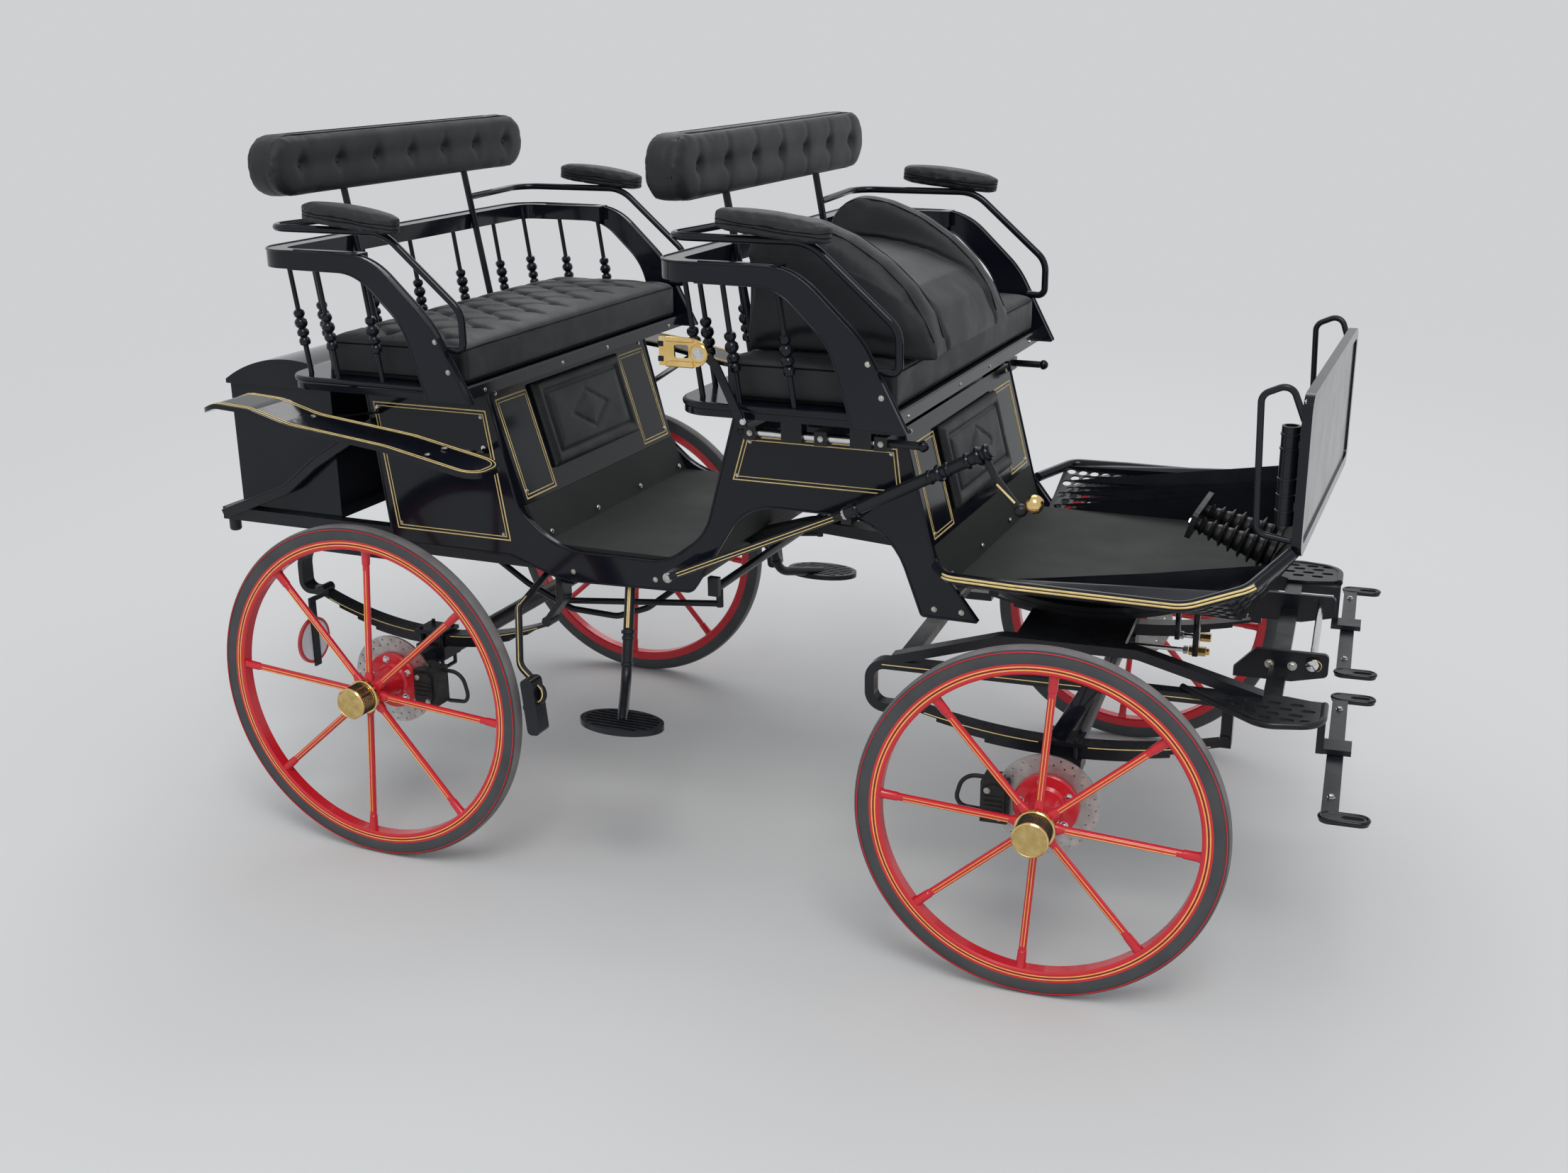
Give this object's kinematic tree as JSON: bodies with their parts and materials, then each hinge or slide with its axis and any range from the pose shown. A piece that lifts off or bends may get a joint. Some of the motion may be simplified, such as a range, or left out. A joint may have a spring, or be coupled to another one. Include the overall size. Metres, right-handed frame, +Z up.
{
  "type": "horse drawn carriage",
  "caption": "Black open four-wheeled horse carriage with red spoked wheels, a seat ahead of the other, a boot and a turning fore-carriage.",
  "frame": {"origin": "on the ground under the middle of the carriage's overall length and width", "axes": "+X forward towards the horse, +Y to the carriage's left, +Z up"},
  "size_m": [3.0338, 1.645, 1.792],
  "materials": {
    "body_black": "gloss",
    "frame_black": "satin",
    "wheel_red": "gloss",
    "rubber": "matte",
    "mat_rubber": "matte",
    "black_leather": "satin",
    "bright_steel": "satin",
    "polished_brass": "polished",
    "reflector_white": "gloss"
  },
  "bodies": {
    "root": {"side_panels": "body_black", "rear_seat_box": "body_black", "front_seat_box": "body_black", "foot_well": "mat_rubber", "kick_boards": "mat_rubber", "padded_panels": "black_leather", "boot": "body_black", "body_frame": "frame_black", "rear_buffers": "mat_rubber", "platform_floor": "mat_rubber", "edge_rails": "body_black", "side_skirts": "body_black", "dashboard": "body_black", "grab_loops": "frame_black", "whip_socket": "body_black", "brake_pedals": "mat_rubber", "seat_boards": "body_black", "seat_galleries": "body_black", "seat_rods": "frame_black", "arm_pads": "black_leather", "back_pads": "black_leather", "seat_cushions": "black_leather", "driver_cushion": "black_leather", "seat_slides": "bright_steel", "wings": "body_black", "wing_stays": "frame_black", "lamp_brackets": "polished_brass", "side_steps": "frame_black", "hand_brake": "frame_black", "brake_gear": "frame_black", "rear_axle": "frame_black", "rear_springs": "frame_black", "rear_hangers": "frame_black", "rear_calipers": "frame_black", "reflectors": "reflector_white"},
    "boot_lid": {"boot_lid": "body_black"},
    "fore_carriage": {"front_axle": "frame_black", "front_springs": "frame_black", "fore_frame": "frame_black", "pole_brackets": "frame_black", "pole_pin": "bright_steel", "front_steps": "frame_black", "front_calipers": "frame_black"},
    "swingletree_right": {"swingletree_right": "frame_black"},
    "swingletree_left": {"swingletree_left": "frame_black"},
    "wheel_rear_right": {"wheel_rear_right": "wheel_red", "tyre_rear_right": "rubber", "disc_and_cap_rear_right": "bright_steel"},
    "wheel_front_right": {"wheel_front_right": "wheel_red", "tyre_front_right": "rubber", "disc_and_cap_front_right": "bright_steel"},
    "wheel_rear_left": {"wheel_rear_left": "wheel_red", "tyre_rear_left": "rubber", "disc_and_cap_rear_left": "bright_steel"},
    "wheel_front_left": {"wheel_front_left": "wheel_red", "tyre_front_left": "rubber", "disc_and_cap_front_left": "bright_steel"}
  },
  "joints": [
    {"name": "steer", "type": "hinge", "parent": "root", "child": "fore_carriage", "pos_m": [0.80911, 0, 0.717], "axis": [0, 0, 1], "range_deg": [-44.1, 35.9]},
    {"name": "boot_lid_hinge", "type": "hinge", "parent": "root", "child": "boot_lid", "pos_m": [-1.13489, 0, 1.172], "axis": [0, 1, 0], "range_deg": [0, 60]},
    {"name": "wheel_rear_right_spin", "type": "hinge", "parent": "root", "child": "wheel_rear_right", "pos_m": [-0.85289, -0.712, 0.435], "axis": [0, 1, 0], "continuous": true},
    {"name": "wheel_front_right_spin", "type": "hinge", "parent": "fore_carriage", "child": "wheel_front_right", "pos_m": [0.86202, -0.73811, 0.4], "axis": [-0.0715, 0.9974, 0], "continuous": true},
    {"name": "swingletree_right_pivot", "type": "hinge", "parent": "fore_carriage", "child": "swingletree_right", "pos_m": [1.41737, -0.37347, 0.505], "axis": [0, 0, 1], "range_deg": [-20, 20]},
    {"name": "wheel_rear_left_spin", "type": "hinge", "parent": "root", "child": "wheel_rear_left", "pos_m": [-0.85289, 0.712, 0.435], "axis": [0, 1, 0], "continuous": true},
    {"name": "wheel_front_left_spin", "type": "hinge", "parent": "fore_carriage", "child": "wheel_front_left", "pos_m": [0.7562, 0.73811, 0.4], "axis": [-0.0715, 0.9974, 0], "continuous": true},
    {"name": "swingletree_left_pivot", "type": "hinge", "parent": "fore_carriage", "child": "swingletree_left", "pos_m": [1.35788, 0.4564, 0.505], "axis": [0, 0, 1], "range_deg": [-20, 20]}
  ]
}
